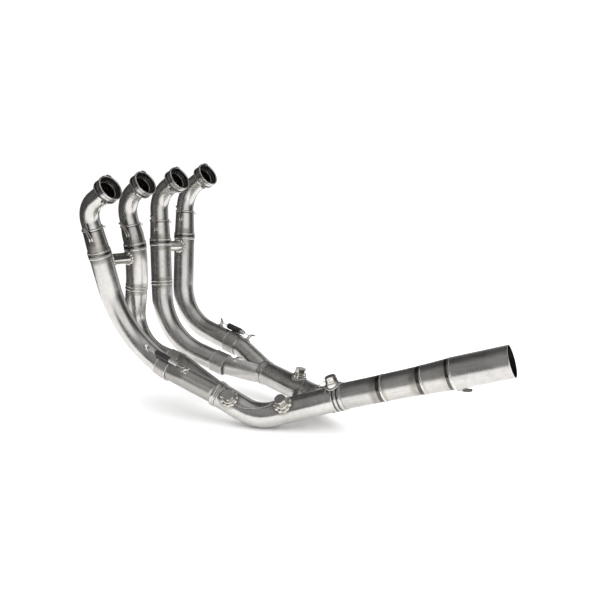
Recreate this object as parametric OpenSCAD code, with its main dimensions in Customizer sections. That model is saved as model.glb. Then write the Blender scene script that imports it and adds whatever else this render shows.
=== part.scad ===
// Four-into-two-into-one exhaust header for an inline four.
// Every tube is a bend table: rows of [straight, bend radius, bend angle, roll].
// Origin: centre of the bore of port cup 1. X runs rearward, Y from cylinder 1
// to cylinder 4, Z up. Millimetres.

/* [Port cups] */
// Diameter of the bore that slips over the port spigot
cup_bore_d = 38.8; // [38:0.2:39.4]
// Depth of that bore
cup_bore_len = 10; // [8:0.5:10]
// Outside diameter of the front rim
cup_rim_d = 43.6; // [43:0.2:45]
// Slope of the port axes above the horizontal
port_slope = 33; // [32:0.5:34]

/* [Tubes] */
// Outside diameter of the stub elbows
stub_d = 31.5; // [30:0.5:32]
// Outside diameter of the primary tubes
primary_d = 37; // [36.5:0.5:37.5]
// Outside diameter of the collector inlets
inlet_d = 35; // [34:0.5:35]
// Outside diameter of the two secondary tubes
secondary_d = 41.4; // [40.8:0.2:41.8]
// Outside diameter of the balance crossovers between primaries
crossover_d = 19; // [17:1:21]
// Outside diameter of the balance tube between the secondaries
balance_d = 23; // [20:1:24]
// Wall thickness of every tube
wall = 1.2; // [1:0.1:1.4]

/* [Slip joints] */
// Outside diameter of the lower slip sleeves
sleeve_d = 39.2; // [39.2:0.2:40]
// Length of the lower slip sleeves
sleeve_len = 25; // [22:1:28]
// How far each inlet reaches into its sleeve
slip_in = 15; // [12:1:15]

/* [Tail] */
// Outside diameter of the first tail section
tail_d1 = 43.2; // [43:0.2:44]
// Outside diameter where the second cone starts
tail_d2 = 45; // [44.5:0.5:46]
// Outside diameter where the outlet tube starts
tail_d3 = 49.4; // [49:0.2:50]
// Outside diameter of the outlet
outlet_d = 50.8; // [50.4:0.2:51.2]
// Outside diameter of the final collector band
band_d = 45.2; // [45:0.2:46]

/* [Springs] */
// Outside diameter of the retaining springs
spring_d = 8.8; // [8:0.2:9.4]
// Spring wire diameter
spring_wire = 1.5; // [1.2:0.1:1.7]
// Outside diameter of the rubber damper sleeves
damper_d = 10.8; // [10.6:0.2:12]
// Diameter of the bent rod of the hooks
hook_d = 3; // [2.6:0.2:3.4]

/* [Sensor bosses] */
// Outside diameter of the threaded bosses
boss_d = 23; // [22:0.5:25]
// Height of the bosses over the tube's skin
boss_h = 5; // [4:0.5:6]
// Plug hexagon across flats
hex_af = 17; // [16:1:19]
// Height of the plug hexagon
hex_h = 7.5; // [6:0.5:9]
// Plug thread diameter
thread_d = 16; // [14:1:16]
// Lockwire thickness
wire_d = 1.2; // [1:0.1:1.6]

/* [Hidden] */
$fn = 96;

// Bend tables of the four header tubes, from the port bore to the collector ring.
bends = [
    [[35, 40, 63, -13], [118, 151, 72, 12], [1, 45, 24.5, -137], [62, 0, 0, 0]],
    [[21, 47, 68, -4], [30, 180, 14, 175], [24, 180, 5.5, -6], [49, 68, 87.5, -165], [47, 45, 11.5, 143], [87, 0, 0, 0]],
    [[25, 47, 61, 6], [152, 111, 71.5, -9], [58, 45, 31.5, -86], [45, 0, 0, 0]],
    [[26, 56, 60, 10], [143, 87, 72.5, -5], [74, 45, 14.5, 151], [66, 0, 0, 0]]
];
// Port spacing: cylinder 1 at Y 0, the cam drive widens the middle gap.
port_y = [0, 84, 175, 259];
// Stations along each header tube: lip of the stub, weld under the upper sleeve,
// second weld on tubes 2 and 3, lower end of the slip sleeve.
lip_s = [91, 90, 95, 91];
weld_s = [133, 125, 132, 136];
head_s = [0, 198, 205, 0];
slip_s = [380, 389, 422, 411];
// Length of the cone inside each upper sleeve.
cone_len = [42, 16, 37, 45];
// Secondary tubes: start point, yaw, pitch from +Z, bend table.
sec_a = [150.5, 72.5, -339, 6.5, 112.5];
bend_a = [[51, 71, 43, 158], [106, 0, 0, 0]];
sec_b = [163.5, 199, -337.5, -13.5, 97];
bend_b = [[104, 73, 33.5, -144], [50, 0, 0, 0]];
leg_a = 150;
leg_b = 148;
// Tail axis: start point, yaw, pitch from +Z.
tail = [346, 131, -326.5, 9.5, 71];
bend_t = [[280, 0, 0, 0]];
// Tail stations: band start, band end, the three welds, mouth.
t0 = -17; t1 = 10; t2 = 71; t3 = 137; t4 = 184; t5 = 280;

rs = stub_d / 2; rp = primary_d / 2; ri = inlet_d / 2; r2 = secondary_d / 2;
gap = 0.03;
steel = [0.62, 0.60, 0.58];
bright = [0.78, 0.77, 0.75];
dull = [0.50, 0.48, 0.46];

// ---- frames ----
function mz(z) = [[1, 0, 0, 0], [0, 1, 0, 0], [0, 0, 1, z], [0, 0, 0, 1]];
function mx(x) = [[1, 0, 0, x], [0, 1, 0, 0], [0, 0, 1, 0], [0, 0, 0, 1]];
function mp(v) = [[1, 0, 0, v[0]], [0, 1, 0, v[1]], [0, 0, 1, v[2]], [0, 0, 0, 1]];
function rz(a) = [[cos(a), -sin(a), 0, 0], [sin(a), cos(a), 0, 0], [0, 0, 1, 0], [0, 0, 0, 1]];
function ry(a) = [[cos(a), 0, sin(a), 0], [0, 1, 0, 0], [-sin(a), 0, cos(a), 0], [0, 0, 0, 1]];
// Start frame of a tube: local +Z is the direction of travel.
function first(o) = mp(o) * rz(o[3]) * ry(o[4]);
// Frame at arc length s of a bend table that starts in frame m.
function pose(m, p, s, i = 0) =
    let (L = p[i][0], R = p[i][1], A = p[i][2], Q = p[i][3], arc = R * A * PI / 180)
    (s <= L || i == len(p) - 1) ? m * mz(s)
    : s < L + arc ? m * mz(L) * rz(Q) * mx(R) * ry((s - L) / arc * A) * mx(-R)
    : pose(m * mz(L) * rz(Q) * mx(R) * ry(A) * mx(-R), p, s - L - arc, i + 1);
// Point beside a tube: arc length s, angle a round it, distance r from its axis.
function pt(o, p, s, a, r) = let (q = pose(first(o), p, s) * [r * cos(a), r * sin(a), 0, 1]) [q[0], q[1], q[2]];
function head_o(k) = [0, port_y[k - 1], 0, 180, 90 + port_slope];
function hpt(k, s, a, r) = pt(head_o(k), bends[k - 1], s, a, r);
function apt(s, a, r) = pt(sec_a, bend_a, s, a, r);
function bpt(s, a, r) = pt(sec_b, bend_b, s, a, r);
function tpt(s, a, r) = pt(tail, bend_t, s, a, r);
function unit(v) = v / norm(v);

// ---- building blocks ----
module at(o) { translate([o[0], o[1], o[2]]) rotate([0, o[4], o[3]]) children(); }
module on(o, p, s) { multmatrix(pose(first(o), p, s)) children(); }
module ring2(ro, rb) {
    if (rb > 0) difference() { circle(r = ro); circle(r = rb); }
    else circle(r = ro);
}
// A tube (or a rod, with rb = 0) along a bend table between arc lengths s0 and s1.
// Each straight run reaches 0.3 mm into the bends beside it, and the bends are
// 0.03 mm thinner, so the whole tube is one solid.
module walk(p, s0, s1, ro, rb, i = 0, s = 0) {
    if (i < len(p) && s < s1) {
        L = p[i][0]; R = p[i][1]; A = p[i][2]; Q = p[i][3];
        arc = R * A * PI / 180;
        lo = (i > 0 && s > s0) ? 0.3 : 0;
        hi = (arc > 0 && s + L < s1) ? 0.3 : 0;
        a = max(s0, s - lo); b = min(s1, s + L + hi);
        if (s + L > s0) translate([0, 0, a - s]) linear_extrude(b - a) ring2(ro, rb);
        sb = s + L;
        a2 = max(s0, sb); b2 = min(s1, sb + arc);
        translate([0, 0, L]) rotate([0, 0, Q]) {
            if (arc > 0 && b2 > a2)
                translate([R, 0, 0]) rotate([90, 0, 0]) rotate([0, 0, 180 - (b2 - sb) / arc * A])
                    rotate_extrude(angle = (b2 - a2) / arc * A) translate([R, 0])
                        ring2(ro - 0.03, rb > 0 ? rb + 0.03 : 0);
            if (s1 > sb + arc)
                translate([R, 0, 0]) rotate([0, A, 0]) translate([-R, 0, 0])
                    walk(p, s0, s1, ro, rb, i + 1, sb + arc);
        }
    }
}
module header(k) { at(head_o(k)) children(); }
module header_walk(k, s0, s1, ro, rb) { header(k) walk(bends[k - 1], s0, s1, ro, rb); }
module a_walk(s0, s1, ro, rb) { at(sec_a) walk(bend_a, s0, s1, ro, rb); }
module b_walk(s0, s1, ro, rb) { at(sec_b) walk(bend_b, s0, s1, ro, rb); }
// A round bar from point p to point q.
module bar(p, q, r) {
    v = q - p; n = norm(v);
    translate(p) rotate([0, acos(v[2] / n), atan2(v[1], v[0])]) cylinder(r = r, h = n);
}
// A bent round rod through a list of points, with a slightly fuller ball at each bend.
module rod(pts, r) {
    $fn = 32;
    union() {
        for (i = [0 : len(pts) - 2]) bar(pts[i], pts[i + 1], r);
        for (i = [1 : len(pts) - 2]) translate(pts[i]) sphere(r = r * 1.04);
    }
}

// ---- port cups ----
ear_a = [42, 69, 54, 36];
module port_cup(k) {
    b = cup_bore_d / 2; m = cup_rim_d / 2; e = cup_bore_len - 6;
    color(bright) header(k) difference() {
        union() {
            rotate_extrude() polygon([
                [b + 0.6, -6], [m - 0.5, -6], [m, -5.5], [m, -3.2], [21, -2.8], [21, e + 0.6],
                [20.6, e + 1], [18.4, e + 1], [18.4, e + 3.2], [20.8, e + 3.2], [21.2, e + 3.6],
                [21.2, e + 5.8], [20.8, e + 6.2], [16.9, e + 6.2], [16.5, e + 12],
                [rs + gap, e + 12], [rs + gap, e + 8], [14.6, e + 8], [14.6, e + 0.6], [15.2, e],
                [b, e], [b, -5.4]
            ]);
            // spring eye on the rear collar
            rotate([0, 0, ear_a[k - 1]]) translate([21.8, 0, e + 3.3]) cylinder(r = 4.1, h = 2.8);
            // locating tab on the rim
            rotate([0, 0, 196]) rotate_extrude(angle = 20) translate([21.2, -6]) square([2.6, 2.7]);
        }
        rotate([0, 0, ear_a[k - 1]]) translate([22.9, 0, 0]) cylinder(r = 1.6, h = 20);
    }
}

// ---- stub elbows: bent tube with a rolled lip where the sleeve starts ----
module stub_elbow(k) {
    s = lip_s[k - 1];
    color(steel) union() {
        header_walk(k, cup_bore_len + 2, s + 10, rs, rs - wall);
        header(k) on0(bends[k - 1], s - 2.6) rotate_extrude() polygon([
            [rs - 0.4, 0], [rs + 1, 0], [rs + 1.7, 0.6], [rs + 1.7, 2], [rs + 1.1, 2.6], [rs - 0.4, 2.6]
        ]);
    }
}
module on0(p, s) { multmatrix(pose(mz(0), p, s)) children(); }

// ---- upper sleeves: slip fit over the stub, cone out to the primary ----
module upper_sleeve(k) {
    s = lip_s[k - 1]; e = weld_s[k - 1]; n = cone_len[k - 1]; ro = rp - 0.2; rb = rp - 0.3 - wall;
    ext = e > s + n ? 0.3 : 0;
    color(steel) union() {
        header(k) on0(bends[k - 1], s) rotate_extrude() polygon([
            [rs + gap, 0], [rs + 1, 0], [ro, n], [ro, n + ext], [rb, n + ext], [rb, n], [rs + gap, 12]
        ]);
        if (e > s + n) header_walk(k, s + n, e, ro - 0.02, rb + 0.02);
    }
}

module primary_head(k) { color(steel) header_bored(k, weld_s[k - 1], head_s[k - 1]); }
module primary_tube(k) {
    s0 = head_s[k - 1] > 0 ? head_s[k - 1] : weld_s[k - 1];
    color(steel) header_bored(k, s0, slip_s[k - 1] - sleeve_len + 8);
}
// A header tube with the hole that its crossover opens into.
module header_bored(k, s0, s1) {
    c = cross_at(k); d = cross_at(k == 1 ? 2 : k == 2 ? 1 : k == 3 ? 4 : 3);
    if (cross_s[k - 1] > s0 && cross_s[k - 1] < s1)
        difference() {
            header_walk(k, s0, s1, rp, rp - wall);
            bar(c, c + unit(d - c) * 30, crossover_d / 2 - wall);
        }
    else header_walk(k, s0, s1, rp, rp - wall);
}

// ---- balance crossovers between the primaries ----
cross_s = [146, 145, 140, 155];
function cross_at(k) = hpt(k, cross_s[k - 1], 0, 0);
module crossover(k) {
    a = cross_at(k); b = cross_at(k + 1);
    color(steel) difference() {
        bar(a, b, crossover_d / 2);
        bar(a, b, crossover_d / 2 - wall);
        header_walk(k, cross_s[k - 1] - 30, cross_s[k - 1] + 30, rp + gap, 0);
        header_walk(k + 1, cross_s[k] - 30, cross_s[k] + 30, rp + gap, 0);
    }
}

// ---- lower slip sleeves ----
module lower_sleeve(k) {
    e = slip_s[k - 1]; s = e - sleeve_len;
    color(bright) difference() {
        header_walk(k, s, e, sleeve_d / 2, 0);
        header_walk(k, s - 1, s + 9, rp + gap, 0);
        header_walk(k, s + 8, e + 1, ri + gap, 0);
    }
}

// ---- two-into-one collectors: two inlets, drawn in by a cone to a collar ----
module collector(k, o) {
    color(steel) difference() {
        union() {
            intersection() {
                union() {
                    header_walk(k, slip_s[k - 1] - slip_in, len_of(k) + 8, ri, 0);
                    header_walk(k + 1, slip_s[k] - slip_in, len_of(k + 1) + 8, ri, 0);
                }
                at(o) translate([0, 0, -165]) {
                    cylinder(r = 120, h = 101);
                    translate([0, 0, 100]) cylinder(r1 = r2 + 42.3, r2 = r2 + 0.3, h = 60);
                }
            }
            at(o) translate([0, 0, -44]) cylinder(r1 = 14.6, r2 = r2 - 0.1, h = 44);
            at(o) translate([0, 0, -5]) cylinder(r = r2 + 1.2, h = 5);
        }
        intersection() {
            union() {
                header_walk(k, slip_s[k - 1] - slip_in - 1, len_of(k) + 8, ri - wall, 0);
                header_walk(k + 1, slip_s[k] - slip_in - 1, len_of(k + 1) + 8, ri - wall, 0);
                at(o) translate([0, 0, -44]) cylinder(r1 = 12.4, r2 = r2 - wall, h = 44.1);
            }
            at(o) translate([0, 0, -165]) {
                cylinder(r = 120, h = 101);
                translate([0, 0, 100]) cylinder(r1 = r2 + 42 - wall, r2 = r2 - wall, h = 60);
                translate([0, 0, 159.9]) cylinder(r = r2 - wall, h = 6);
            }
        }
    }
}
function len_of(k, i = 0) = let (p = bends[k - 1]) i == len(p) ? 0 : p[i][0] + p[i][1] * p[i][2] * PI / 180 + len_of(k, i + 1);

// ---- secondary tubes ----
module secondary_a() {
    color(steel) difference() {
        union() {
            a_walk(0, leg_a, r2, 0);
            at(sec_a) cylinder(r = r2 + 1.2, h = 2.6);
        }
        a_walk(-1, leg_a + 1, r2 - wall, 0);
        for (b = [0, 1]) boss_hole(b);
        bar(bal_a, bal_b, balance_d / 2 - wall);
    }
}
module secondary_b() {
    color(steel) difference() {
        union() {
            b_walk(0, leg_b, r2, 0);
            at(sec_b) cylinder(r = r2 + 1.2, h = 2.6);
        }
        b_walk(-1, leg_b + 1, r2 - wall, 0);
        boss_hole(2);
        bar(bal_b, bal_a, balance_d / 2 - wall);
    }
}
bal_a = apt(140, 0, 0);
bal_b = bpt(86, 0, 0);
module balance_tube() {
    color(steel) difference() {
        bar(bal_a, bal_b, balance_d / 2);
        bar(bal_a, bal_b, balance_d / 2 - wall);
        a_walk(80, leg_a - 0.01, r2 + gap, 0);
        a_walk(leg_a - 0.02, 200, r2 + gap, 0);
        b_walk(40, 140, r2 + gap, 0);
    }
}

// ---- final two-into-one collector with its slip band ----
module final_collector() {
    color(steel) difference() {
        union() {
            a_walk(leg_a, 210, r2, 0);
            b_walk(leg_b, 196, r2, 0);
            at(tail) translate([0, 0, t0]) cylinder(r = band_d / 2, h = t1 - t0);
        }
        a_walk(leg_a - 1, 212, r2 - wall, 0);
        b_walk(leg_b - 1, 198, r2 - wall, 0);
        at(tail) translate([0, 0, -12]) cylinder(r = band_d / 2 - wall, h = 30);
        boss_hole(3);
    }
}

// ---- tail ----
module tail_ring(z0, z1, ra, rb) {
    color(steel) at(tail) translate([0, 0, z0]) difference() {
        cylinder(r1 = ra, r2 = rb, h = z1 - z0);
        translate([0, 0, -0.01]) cylinder(r1 = ra - wall, r2 = rb - wall, h = z1 - z0 + 0.02);
    }
}
module tail_inlet() {
    color(steel) at(tail) translate([0, 0, t1]) difference() {
        cylinder(r = tail_d1 / 2, h = t2 - t1);
        translate([0, 0, -1]) cylinder(r = tail_d1 / 2 - wall, h = t2 - t1 + 2);
    }
}
module tail_cone_1() { tail_ring(t2, t3, tail_d1 / 2 + 0.1, tail_d2 / 2); }
module tail_cone_2() { tail_ring(t3, t4, tail_d2 / 2 + 0.2, tail_d3 / 2); }
module outlet_tube() {
    color(steel) at(tail) translate([0, 0, t4]) difference() {
        union() {
            cylinder(r1 = tail_d3 / 2 + 0.1, r2 = outlet_d / 2, h = 8);
            translate([0, 0, 8]) cylinder(r = outlet_d / 2, h = t5 - t4 - 8);
        }
        translate([0, 0, -0.01]) cylinder(r1 = tail_d3 / 2 + 0.1 - wall, r2 = outlet_d / 2 - wall, h = 8.02);
        translate([0, 0, 8]) cylinder(r = outlet_d / 2 - wall, h = t5 - t4);
    }
}

// ---- hooks and lugs ----
hook_a = [75, 78, 72, 74];
module upper_hooks() {
    color(dull) for (k = [1 : 4]) difference() {
        rod([hpt(k, lip_s[k - 1] + 8, hook_a[k - 1], rs), hpt(k, lip_s[k - 1] + 6, hook_a[k - 1], rs + 3.4),
             hpt(k, lip_s[k - 1] - 3, hook_a[k - 1] + 3, rs + 6), hpt(k, lip_s[k - 1] - 9, hook_a[k - 1] + 5, rs + 11)], hook_d / 2);
        header(k) on0(bends[k - 1], lip_s[k - 1]) cylinder(r1 = rs + 1.03, r2 = rp - 0.17, h = cone_len[k - 1]);
    }
}
module upper_lugs() {
    color(bright) for (k = [1 : 4]) header(k) on0(bends[k - 1], lip_s[k - 1] + 0.2) difference() {
        rotate([0, 0, 318]) translate([rs - 1, -3, 0]) cube([6.4, 6, 3.4]);
        cylinder(r1 = rs + 1.03, r2 = rp - 0.17, h = cone_len[k - 1]);
    }
}
// Spring posts: a rod that stands on the tube and leans away from the spring.
posts = [
    [1, 326, 24, -5, 0], [1, 404, 152, 5, 1],
    [4, 358, 343, -5, 0], [4, 419, 190, 5, 1]
];
// Radius of the tube's skin under each post.
function skin(i) = posts[i][4] == 0 ? rp : ri;
lift = [6.9, 8.8, 8.8, 11.5];
function post_top(i) = hpt(posts[i][0], posts[i][1], posts[i][2], skin(i) + lift[i]);
module lower_hooks() {
    color(dull) for (i = [0 : 3]) difference() {
        rod([hpt(posts[i][0], posts[i][1], posts[i][2], skin(i) - 0.6), post_top(i),
             hpt(posts[i][0], posts[i][1] + posts[i][3], posts[i][2], skin(i) + lift[i] + 3.6)], hook_d / 2);
        header_walk(posts[i][0], posts[i][1] - 14, posts[i][1] + 14, skin(i) + gap, 0);
    }
    // the empty hook of tube 3
    color(dull) difference() {
        rod([hpt(3, 438, 99, ri - 0.6), hpt(3, 438, 99, ri + 5), hpt(3, 444, 99, ri + 6.5)], hook_d / 2);
        header_walk(3, 424, 452, ri + gap, 0);
    }
}
module tail_hook() {
    color(dull) difference() {
        union() {
            rod([tpt(196, -8, outlet_d / 2 - 0.5), tpt(198, -8, outlet_d / 2 + 5), tpt(208, -8, outlet_d / 2 + 6),
                 tpt(208, 8, outlet_d / 2 + 6), tpt(198, 8, outlet_d / 2 + 5), tpt(196, 8, outlet_d / 2 - 0.5)], hook_d / 2);
        }
        at(tail) translate([0, 0, t4 + 8]) cylinder(r = outlet_d / 2 + gap, h = 60);
    }
}

// ---- retaining springs: coils, straight ends and eyes ----
module spring_between(p, q, bend_dir) {
    v = q - p; n = norm(v); r = spring_d / 2 - spring_wire / 2; w = spring_wire / 2; eye = 3.6;
    c0 = n * 0.2; c1 = n * 0.8; turns = floor((c1 - c0) / spring_wire);
    x = unit(cross(v, bend_dir));
    y = unit(cross(v, x));
    multmatrix([[x[0], y[0], v[0] / n, p[0]], [x[1], y[1], v[1] / n, p[1]], [x[2], y[2], v[2] / n, p[2]], [0, 0, 0, 1]]) union() {
        translate([0, 0, c0]) difference() {
            cylinder(r = r + w * 0.7, h = c1 - c0);
            translate([0, 0, -1]) cylinder(r = r - w * 0.7, h = c1 - c0 + 2);
        }
        for (z = [c0, c1]) translate([0, 0, z]) rotate_extrude() translate([r, 0]) circle(r = w);
        for (z = [0, n]) translate([0, 0, z]) rotate([90, 0, 0]) rotate_extrude() translate([eye, 0]) circle(r = w);
        bar([0, 0, eye], [0, 0, c0], w); bar([-r, 0, c0], [r, 0, c0], w);
        bar([0, 0, c1], [0, 0, n - eye], w); bar([-r, 0, c1], [r, 0, c1], w);
    }
}
module damper(p, q, f0, f1) {
    v = q - p; a = p + v * f0; b = p + v * f1;
    color([0.12, 0.12, 0.12]) difference() {
        bar(a, b, damper_d / 2);
        bar(a - unit(v), b + unit(v), spring_d / 2 + gap);
    }
}
// Where the springs' eyes ring the posts.
function eye_at(i) = hpt(posts[i][0], posts[i][1], posts[i][2], skin(i) + lift[i] - 2.6);
function out_of(i) = post_top(i) - hpt(posts[i][0], posts[i][1], posts[i][2], 0);
module spring_1() { color(bright) spring_between(eye_at(0), eye_at(1), out_of(0)); }
module spring_4() { color(bright) spring_between(eye_at(2), eye_at(3), out_of(2)); }
module damper_sleeve_1() { damper(eye_at(0), eye_at(1), 0.23, 0.6); }
module damper_sleeve_4() { damper(eye_at(2), eye_at(3), 0.23, 0.68); }

// ---- sensor bosses and their plugs: foot point, top direction, skin radius ----
boss_o = [sec_a, sec_a, sec_b, tail];
boss_p = [bend_a, bend_a, bend_b, bend_t];
boss_s = [24, 126, 78, -4];
boss_a = [228, 56, 171, 184];
boss_r = [r2, r2, r2, band_d / 2];
module boss_frame(b) {
    on(boss_o[b], boss_p[b], boss_s[b]) rotate([0, 0, boss_a[b]]) translate([boss_r[b], 0, 0]) rotate([0, 90, 0]) children();
}
module boss_hole(b) { boss_frame(b) translate([0, 0, -12]) cylinder(d = thread_d + 2 * gap, h = 20); }
module tube_under(b) {
    if (b < 2) a_walk(boss_s[b] - 24, boss_s[b] + 24, r2 + gap, 0);
    else if (b == 2) b_walk(54, 102, r2 + gap, 0);
    else {
        at(tail) translate([0, 0, t0 - 10]) cylinder(r = band_d / 2 + gap, h = 60);
        a_walk(leg_a, 210, r2 + gap, 0);
        b_walk(leg_b, 196, r2 + gap, 0);
    }
}
module sensor_bosses() {
    color(bright) for (b = [0 : 3]) difference() {
        boss_frame(b) difference() {
            translate([0, 0, -9]) union() {
                cylinder(d = boss_d, h = 9 + boss_h - 0.8);
                translate([0, 0, 9 + boss_h - 0.8]) cylinder(r1 = boss_d / 2, r2 = boss_d / 2 - 0.8, h = 0.8);
            }
            translate([0, 0, -10]) cylinder(d = thread_d + 2 * gap, h = 30);
        }
        tube_under(b);
    }
}
module crush_washers() {
    color([0.72, 0.45, 0.28]) for (b = [0 : 3]) boss_frame(b) translate([0, 0, boss_h + 0.01]) difference() {
        cylinder(d = 21, h = 1.4);
        translate([0, 0, -1]) cylinder(d = thread_d + 0.4, h = 4);
    }
}
module boss_plugs() {
    h0 = boss_h + 1.42;
    color(bright) for (b = [0 : 3]) boss_frame(b) {
        difference() {
            union() {
                translate([0, 0, 0.8]) cylinder(d = thread_d - 0.06, h = h0 - 0.6);
                translate([0, 0, h0]) cylinder(d = hex_af + 3.4, h = 1.8);
                translate([0, 0, h0 + 1.7]) rotate([0, 0, b * 25]) intersection() {
                    cylinder(r = hex_af / 2 / cos(30), h = hex_h, $fn = 6);
                    cylinder(r1 = hex_af / 2 / cos(30) + 4, r2 = hex_af / 2 + 0.2, h = hex_h);
                }
            }
            // wire hole across the hexagon
            translate([0, 0, h0 + 1.7 + hex_h * 0.55]) rotate([0, 0, b * 25 + 60]) rotate([90, 0, 0]) translate([hex_af / 2 - 2.2, 0, -20]) cylinder(r = 0.8, h = 40);
        }
    }
}

// ---- lockwires ----
module lockwire_a() {
    color(bright) rod([apt(34, 236, 31), apt(44, 238, 28), apt(61, 74, 25.5), apt(96, 60, 27), apt(112, 56, 30)], wire_d / 2);
}
module lockwire_b() {
    color(bright) rod([bpt(90, 172, 31), bpt(97, 186, 28), bpt(106, 20, 27), bpt(116, 30, 27), tpt(-18, 190, 31), tpt(-16, 188, 32)], wire_d / 2);
}

port_cup(1);  // port_cup_1
port_cup(2);  // port_cup_2
port_cup(3);  // port_cup_3
port_cup(4);  // port_cup_4
stub_elbow(1);  // stub_elbow_1
stub_elbow(2);  // stub_elbow_2
stub_elbow(3);  // stub_elbow_3
stub_elbow(4);  // stub_elbow_4
upper_sleeve(1);  // upper_sleeve_1
upper_sleeve(2);  // upper_sleeve_2
upper_sleeve(3);  // upper_sleeve_3
upper_sleeve(4);  // upper_sleeve_4
primary_head(2);  // primary_head_2
primary_head(3);  // primary_head_3
primary_tube(1);  // primary_tube_1
primary_tube(2);  // primary_tube_2
primary_tube(3);  // primary_tube_3
primary_tube(4);  // primary_tube_4
crossover(1);  // crossover_12
crossover(3);  // crossover_34
lower_sleeve(1);  // lower_sleeve_1
lower_sleeve(2);  // lower_sleeve_2
lower_sleeve(3);  // lower_sleeve_3
lower_sleeve(4);  // lower_sleeve_4
collector(1, sec_a);  // collector_a
collector(3, sec_b);  // collector_b
secondary_a();
secondary_b();
balance_tube();
final_collector();
tail_inlet();
tail_cone_1();
tail_cone_2();
outlet_tube();
upper_hooks();
upper_lugs();
lower_hooks();
tail_hook();
spring_1();
spring_4();
damper_sleeve_1();
damper_sleeve_4();
sensor_bosses();
boss_plugs();
crush_washers();
lockwire_a();
lockwire_b();
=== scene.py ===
import bpy
import math
import numpy as np
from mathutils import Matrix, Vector

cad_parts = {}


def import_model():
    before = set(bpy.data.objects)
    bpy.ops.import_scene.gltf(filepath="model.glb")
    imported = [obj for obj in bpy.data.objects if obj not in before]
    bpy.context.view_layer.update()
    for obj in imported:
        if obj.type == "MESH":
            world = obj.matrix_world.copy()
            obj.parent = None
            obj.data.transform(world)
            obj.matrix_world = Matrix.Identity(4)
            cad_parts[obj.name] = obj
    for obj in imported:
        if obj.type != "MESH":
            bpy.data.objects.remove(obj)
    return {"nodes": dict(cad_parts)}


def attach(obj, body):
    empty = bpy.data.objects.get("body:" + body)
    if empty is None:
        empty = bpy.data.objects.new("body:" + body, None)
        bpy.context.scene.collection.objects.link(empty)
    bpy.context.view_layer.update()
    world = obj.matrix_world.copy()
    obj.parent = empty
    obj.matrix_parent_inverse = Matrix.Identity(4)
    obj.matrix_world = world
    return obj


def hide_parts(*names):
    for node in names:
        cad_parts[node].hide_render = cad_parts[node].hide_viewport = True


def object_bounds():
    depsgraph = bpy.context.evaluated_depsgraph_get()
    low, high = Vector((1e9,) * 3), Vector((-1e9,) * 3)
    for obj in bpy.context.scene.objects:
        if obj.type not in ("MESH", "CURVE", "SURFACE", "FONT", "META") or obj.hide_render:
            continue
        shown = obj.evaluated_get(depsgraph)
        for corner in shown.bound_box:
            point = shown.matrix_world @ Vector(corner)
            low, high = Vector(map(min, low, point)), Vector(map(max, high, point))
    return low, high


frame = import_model()
cad_box = [list(v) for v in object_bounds()]
nodes = frame["nodes"]
scene = bpy.context.scene

# ---------------------------------------------------------------- frames, in millimetres
bends = [
    [[35, 40, 63, -13], [118, 151, 72, 12], [1, 45, 24.5, -137], [62, 0, 0, 0]],
    [[21, 47, 68, -4], [30, 180, 14, 175], [24, 180, 5.5, -6], [49, 68, 87.5, -165], [47, 45, 11.5, 143], [87, 0, 0, 0]],
    [[25, 47, 61, 6], [152, 111, 71.5, -9], [58, 45, 31.5, -86], [45, 0, 0, 0]],
    [[26, 56, 60, 10], [143, 87, 72.5, -5], [74, 45, 14.5, 151], [66, 0, 0, 0]],
]
port_y = [0, 84, 175, 259]
lip_s = [91, 90, 95, 91]
weld_s = [133, 125, 132, 136]
head_s = [0, 198, 205, 0]
slip_s = [380, 389, 422, 411]
cross_s = [146, 145, 140, 155]
sec_a, bend_a = [150.5, 72.5, -339, 6.5, 112.5], [[51, 71, 43, 158], [106, 0, 0, 0]]
sec_b, bend_b = [163.5, 199, -337.5, -13.5, 97], [[104, 73, 33.5, -144], [50, 0, 0, 0]]
tail, bend_t = [346, 131, -326.5, 9.5, 71], [[280, 0, 0, 0]]
RS, RP, RI, R2 = 15.75, 18.5, 17.5, 20.7


def mat(rows):
    return np.array(rows, float)


def mtr(x, y, z):
    return mat([[1, 0, 0, x], [0, 1, 0, y], [0, 0, 1, z], [0, 0, 0, 1]])


def mrz(a):
    c, s = math.cos(math.radians(a)), math.sin(math.radians(a))
    return mat([[c, -s, 0, 0], [s, c, 0, 0], [0, 0, 1, 0], [0, 0, 0, 1]])


def mry(a):
    c, s = math.cos(math.radians(a)), math.sin(math.radians(a))
    return mat([[c, 0, s, 0], [0, 1, 0, 0], [-s, 0, c, 0], [0, 0, 0, 1]])


def first(o):
    return mtr(*o[:3]) @ mrz(o[3]) @ mry(o[4])


def pose(o, p, s):
    """The frame at arc length s of a bend table, as the solids use it."""
    m = first(o)
    for i, (L, R, A, Q) in enumerate(p):
        arc = math.radians(A) * R
        if s <= L or i == len(p) - 1:
            return m @ mtr(0, 0, s)
        turn = A if s >= L + arc else (s - L) / arc * A
        m2 = m @ mtr(0, 0, L) @ mrz(Q) @ mtr(R, 0, 0) @ mry(turn) @ mtr(-R, 0, 0)
        if s < L + arc:
            return m2
        m, s = m2, s - L - arc
    return m


def head_o(k):
    return [0, port_y[k - 1], 0, 180, 123]


def tube(k):
    return lambda s: pose(head_o(k), bends[k - 1], s)


def path_a(s):
    return pose(sec_a, bend_a, s)


def path_b(s):
    return pose(sec_b, bend_b, s)


def path_t(s):
    return pose(tail, bend_t, s)


def pt(f, s, a, r):
    a = math.radians(a)
    return (f(s) @ np.array([r * math.cos(a), r * math.sin(a), 0, 1]))[:3]


def unit(v):
    return v / np.linalg.norm(v)


# ---------------------------------------------------------------- mesh tools


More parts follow.
